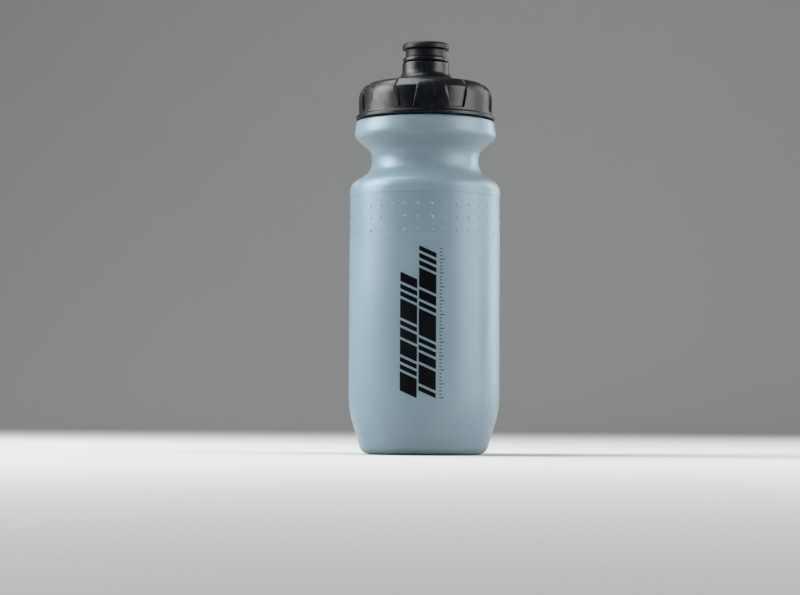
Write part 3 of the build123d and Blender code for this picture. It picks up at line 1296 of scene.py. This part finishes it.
    def bevel_recess_edges(self, piece: bpy.types.Object) -> None:
        """Bevel the edges of the recesses, found as the sharp edges on the skirt and the crown.

        Args:
            piece: The cap with its recesses sunk.
        """
        edit_only(piece)
        bpy.ops.mesh.select_mode(type="EDGE")
        bpy.ops.mesh.edges_select_sharp(sharpness=math.radians(28.0))
        leave_edit()
        places = vertex_places(piece)
        radius, _ = polar(places)
        zone = (places[:, 2] > self.recess_bottom - 0.3) & (places[:, 2] < self.recess_top + 0.6)
        zone &= self.on_outside(radius, places[:, 2]) & (radius > self.dome_edge + 0.6)
        for edge in piece.data.edges:
            if edge.select and not (zone[edge.vertices[0]] and zone[edge.vertices[1]]):
                edge.select = False
        bpy.ops.object.mode_set(mode="EDIT")
        bpy.ops.mesh.bevel(offset=self.edge_bevel * MM, segments=2, affect="EDGES", clamp_overlap=True)
        leave_edit()

    def build(self, effects: SurfaceEffects) -> bpy.types.Object:
        """Model the cap and dress it.

        Args:
            effects: The node groups that the finishes share.

        Returns:
            The finished cap.
        """
        outline = rounded_outline(self.corners(), closed=True, arc_step=9.0)
        piece = turn_piece(
            "black_screw_cap", outline, self.columns, closed=True, start_azimuth=self.recess_azimuth
        )
        self.lean_columns(piece)
        self.sink_recesses(piece)
        tooth = ScrewTooth(
            self.bore_radius, self.bottom + self.thread_rise, -1, self.thread_height, start_azimuth=90.0
        )
        join_into(piece, [tooth.build("cap_thread")])
        smooth(piece)
        dress(piece, CAP_POLYPROPYLENE.make(effects))
        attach(piece, Body.CAP.value)
        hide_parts("screw_cap")
        return piece


# --- Nozzle ---------------------------------------------------------------------------------------
@dataclass
class PushPullNozzle:
    """The slider and its soft mouthpiece, in millimetres."""

    sleeve_radius: float = 9.37
    sleeve_bore: float = 7.97
    sleeve_bottom: float = field(default_factory=lambda: foot_of("nozzle_slider"))
    stem_top: float = field(default_factory=lambda: top_of("nozzle_slider"))
    ring_top: float = field(default_factory=lambda: foot_of("nozzle_mouthpiece"))
    top: float = field(default_factory=lambda: top_of("nozzle_mouthpiece"))
    bead_radius: float = 9.9
    bead_height: float = 1.0
    groove_radius: float = 8.72
    seal_height: float = 1.6
    ring_radius: float = 11.2
    ring_height: float = 2.4
    ring_fillet: float = 0.9
    orifice_radius: float = 3.48
    orifice_rise: float = 2.0
    orifice_height: float = 1.8
    chamber_radius: float = 7.2
    stem_radius: float = 8.8
    cover_radius: float = 9.9
    flange_radius: float = 11.6
    flange_height: float = 3.3
    flange_fillet: float = 1.9
    outlet_radius: float = 5.6
    columns: int = 96

    def __post_init__(self) -> None:
        """Work out the heights that the others stand on."""
        self.groove_bottom = self.sleeve_bottom + self.bead_height
        self.groove_top = self.groove_bottom + self.seal_height
        self.bead_top = self.groove_top + self.bead_height
        self.ring_bottom = self.ring_top - self.ring_height
        self.orifice_bottom = self.ring_bottom + self.orifice_rise
        self.orifice_top = self.orifice_bottom + self.orifice_height
        self.flange_bottom = self.top - self.flange_height

    def slider_corners(self) -> list[Corner]:
        """Return the closed section of the slider.

        Returns:
            The corners from the bottom of the bore outwards, up and back down inside.
        """
        return [
            Corner(self.sleeve_bore, self.sleeve_bottom),
            Corner(self.bead_radius, self.sleeve_bottom, 0.25),
            Corner(self.bead_radius, self.groove_bottom),
            Corner(self.groove_radius, self.groove_bottom),
            Corner(self.groove_radius, self.groove_top),
            Corner(self.bead_radius, self.groove_top),
            Corner(self.bead_radius, self.bead_top, 0.25),
            Corner(self.sleeve_radius, self.bead_top),
            Corner(self.sleeve_radius, self.ring_bottom, 0.3),
            Corner(self.ring_radius, self.ring_bottom, self.ring_fillet),
            Corner(self.ring_radius, self.ring_top, self.ring_fillet),
            Corner(self.stem_radius, self.ring_top),
            Corner(self.stem_radius, self.stem_top),
            Corner(self.chamber_radius, self.stem_top),
            Corner(self.chamber_radius, self.orifice_top),
            Corner(self.orifice_radius, self.orifice_top, 0.2),
            Corner(self.orifice_radius, self.orifice_bottom, 0.2),
            Corner(self.sleeve_bore, self.orifice_bottom),
        ]

    def mouthpiece_corners(self) -> list[Corner]:
        """Return the closed section of the soft mouthpiece.

        Returns:
            The corners from the outlet down round the stem and back over the bite flange.
        """
        return [
            Corner(self.outlet_radius, self.stem_top, 0.2),
            Corner(self.stem_radius, self.stem_top),
            Corner(self.stem_radius, self.ring_top),
            Corner(self.cover_radius, self.ring_top, 0.3),
            Corner(self.cover_radius, self.flange_bottom, 0.5),
            Corner(self.flange_radius, self.flange_bottom, 0.5),
            Corner(self.flange_radius, self.top, self.flange_fillet),
            Corner(self.outlet_radius, self.top, 0.7),
        ]

    def build(self, effects: SurfaceEffects) -> list[bpy.types.Object]:
        """Model the slider and the mouthpiece and dress them.

        Args:
            effects: The node groups that the finishes share.

        Returns:
            The two finished pieces.
        """
        slider = turn_piece(
            "nozzle_push_pull_slider",
            rounded_outline(self.slider_corners(), closed=True),
            self.columns,
            closed=True,
        )
        mouthpiece = turn_piece(
            "nozzle_soft_mouthpiece",
            rounded_outline(self.mouthpiece_corners(), closed=True, arc_step=9.0),
            self.columns,
            closed=True,
        )
        for piece, finish, slot, node in (
            (slider, NOZZLE_POLYPROPYLENE, Slot.NOZZLE, "nozzle_slider"),
            (mouthpiece, SOFT_ELASTOMER, Slot.MOUTHPIECE, "nozzle_mouthpiece"),
        ):
            smooth(piece)
            dress(piece, finish.make(effects))
            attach(piece, Body.NOZZLE.value)
            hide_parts(node)
        return [slider, mouthpiece]


# --- Studio ---------------------------------------------------------------------------------------
@dataclass(frozen=True)
class Softbox:
    """A rectangular soft light that faces the bottle, in metres, degrees and watts."""

    name: str
    azimuth: float
    distance: float
    height: float
    size: tuple[float, float]
    power: float
    tint: tuple[float, float, float] = (1.0, 1.0, 1.0)
    target_height: float = 0.12

    def hang(self) -> bpy.types.Object:
        """Hang the light at its azimuth, measured from the front towards the right.

        Returns:
            The new light.
        """
        data = bpy.data.lights.new(self.name, "AREA")
        data.shape = "RECTANGLE"
        data.size, data.size_y = self.size
        data.energy = self.power
        data.color = self.tint
        light = bpy.data.objects.new(self.name, data)
        bpy.context.scene.collection.objects.link(light)
        angle = math.radians(self.azimuth + FRONT)
        place = Vector((self.distance * math.cos(angle), self.distance * math.sin(angle), self.height))
        gaze = (Vector((0, 0, self.target_height)) - place).to_track_quat("-Z", "Y")
        light.matrix_world = Matrix.Translation(place) @ gaze.to_matrix().to_4x4()
        return light


@dataclass
class Studio:
    """The camera, the soft lights and the pale sweep that the bottle stands on, in metres."""

    distance: float = 1.2
    camera_height: float = 0.020
    aim: tuple[float, float, float] = (-0.012, 0.0, 0.0765)
    lens: float = 110.2
    roll: float = 0.35
    sweep_depth: float = 1.6
    sweep_radius: float = 0.8
    sweep_front: float = -9.0
    sweep_width: float = 18.0
    sweep_height: float = 3.0
    sweep_steps: int = 24
    sweep_drop: float = 0.0002
    room_tint: Colour = (0.9, 0.95, 1.0, 1.0)
    room_strength: float = 0.30
    softboxes: tuple[Softbox, ...] = (
        Softbox("left_softbox", -87.0, 0.95, 0.61, (0.8, 0.9), 15.5),
        Softbox("right_softbox", 72.0, 1.0, 0.42, (0.8, 1.1), 11.0, (1.0, 0.975, 0.96)),
        Softbox("right_rim_softbox", 128.0, 1.1, 0.30, (0.6, 1.2), 5.5, (1.0, 0.985, 0.97)),
        Softbox("overhead_softbox", -120.0, 0.5, 1.35, (0.8, 0.8), 9.0),
    )

    def place_camera(self) -> bpy.types.Object:
        """Create the camera and make it the scene's.

        Returns:
            The new camera.
        """
        data = bpy.data.cameras.new("camera")
        data.lens = self.lens
        data.sensor_width = 36.0
        camera = bpy.data.objects.new("camera", data)
        bpy.context.scene.collection.objects.link(camera)
        place = Vector((0.0, -self.distance, self.camera_height))
        gaze = (Vector(self.aim) - place).to_track_quat("-Z", "Y")
        turned = gaze.to_matrix() @ Matrix.Rotation(math.radians(self.roll), 3, "Z")
        camera.matrix_world = Matrix.Translation(place) @ turned.to_4x4()
        bpy.context.scene.camera = camera
        return camera

    def build_sweep(self) -> bpy.types.Object:
        """Model the pale floor that curves up into a backdrop, by extruding its front edge back.

        Returns:
            The sweep.
        """
        bpy.ops.object.select_all(action="DESELECT")
        bpy.ops.mesh.primitive_plane_add(size=1.0, location=(0, 0, 0))
        sweep = bpy.context.object
        sweep.name = "pale_sweep"
        bpy.ops.object.mode_set(mode="EDIT")
        bpy.ops.mesh.select_all(action="SELECT")
        length = self.sweep_depth - self.sweep_front
        bpy.ops.transform.resize(value=(self.sweep_width, length, 1))
        bpy.ops.transform.translate(value=(0, self.sweep_depth - length / 2, -self.sweep_drop))
        bpy.ops.mesh.select_all(action="DESELECT")
        leave_edit()
        for vertex in sweep.data.vertices:
            vertex.select = vertex.co.y > 0
        bpy.ops.object.mode_set(mode="EDIT")
        bpy.ops.mesh.select_mode(type="EDGE")
        for step in range(self.sweep_steps):
            here = math.radians(90.0 * step / self.sweep_steps)
            there = math.radians(90.0 * (step + 1) / self.sweep_steps)
            move = Vector((0, math.sin(there) - math.sin(here), math.cos(here) - math.cos(there)))
            bpy.ops.mesh.extrude_region_move(TRANSFORM_OT_translate={"value": move * self.sweep_radius})
        bpy.ops.mesh.extrude_region_move(TRANSFORM_OT_translate={"value": (0, 0, self.sweep_height)})
        bpy.ops.mesh.select_all(action="SELECT")
        bpy.ops.mesh.normals_make_consistent(inside=False)
        leave_edit()
        smooth(sweep, 60.0)
        dress(sweep, self.paper())
        return sweep

    @staticmethod
    def paper() -> bpy.types.Material:
        """Build the matt pale paper of the sweep.

        Returns:
            The new material.
        """
        material = bpy.data.materials.new("pale_backdrop_paper")
        material.use_nodes = True
        tree = NodeTree(material.node_tree)
        shader = material.node_tree.nodes["Principled BSDF"]
        place = tree.add("ShaderNodeTexCoord").outputs["Object"]
        fibre = tree.add("ShaderNodeTexNoise", {"Vector": place, "Scale": 900.0, "Detail": 4.0})
        tone = tree.add(
            "ShaderNodeMix",
            {0: fibre.outputs["Fac"], 6: (0.56, 0.557, 0.548, 1.0), 7: (0.60, 0.597, 0.588, 1.0)},
            data_type="RGBA",
        )
        tree.link(tone.outputs[2], shader.inputs["Base Color"])
        shader.inputs["Roughness"].default_value = 0.85
        bump = tree.add(
            "ShaderNodeBump",
            {"Height": fibre.outputs["Fac"], "Distance": 0.0001, "Strength": 0.4},
        )
        tree.link(bump.outputs["Normal"], shader.inputs["Normal"])
        return material

    def light_room(self) -> None:
        """Hang the soft lights and set the dim even light of the room."""
        for softbox in self.softboxes:
            softbox.hang()
        world = bpy.data.worlds.new("room")
        world.use_nodes = True
        background = world.node_tree.nodes["Background"]
        background.inputs["Color"].default_value = self.room_tint
        background.inputs["Strength"].default_value = self.room_strength
        bpy.context.scene.world = world
        bpy.context.scene.view_settings.view_transform = "Khronos PBR Neutral"

    def build(self) -> None:
        """Build the camera, the sweep and the lights."""
        self.place_camera()
        self.build_sweep()
        self.light_room()


def dress_kept_nodes(effects: SurfaceEffects) -> None:
    """Give each CAD node that stays its own finish.

    Args:
        effects: The node groups that the finishes share.
    """
    cap_black = bpy.data.materials[CAP_POLYPROPYLENE.name]
    nozzle_black = bpy.data.materials[NOZZLE_POLYPROPYLENE.name]
    silicone = CLEAR_SILICONE.make(effects)
    finishes = {
        "cap_gasket": GASKET_RUBBER.make(effects),
        "valve_post": cap_black,
        "nozzle_seal": silicone,
        "flow_valve": silicone,
        "valve_retainer": nozzle_black,
    }
    for node, material in finishes.items():
        dress(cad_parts[node], material)
        LOG.info("dressed %s with %s", node, material.name)


def main() -> None:
    """Build the studio and each sub-assembly in order, and report each piece."""
    logging.basicConfig(level=logging.INFO, format="%(message)s")
    Studio().build()
    effects = SurfaceEffects()
    pieces = [BottleShell().build(effects)]
    pieces += PrintedGraphic().build(effects)
    pieces.append(ScrewCap().build(effects))
    pieces += PushPullNozzle().build(effects)
    dress_kept_nodes(effects)
    for piece in pieces:
        LOG.info("built %s with %d faces", piece.name, len(piece.data.polygons))


if __name__ == "__main__":
    main()
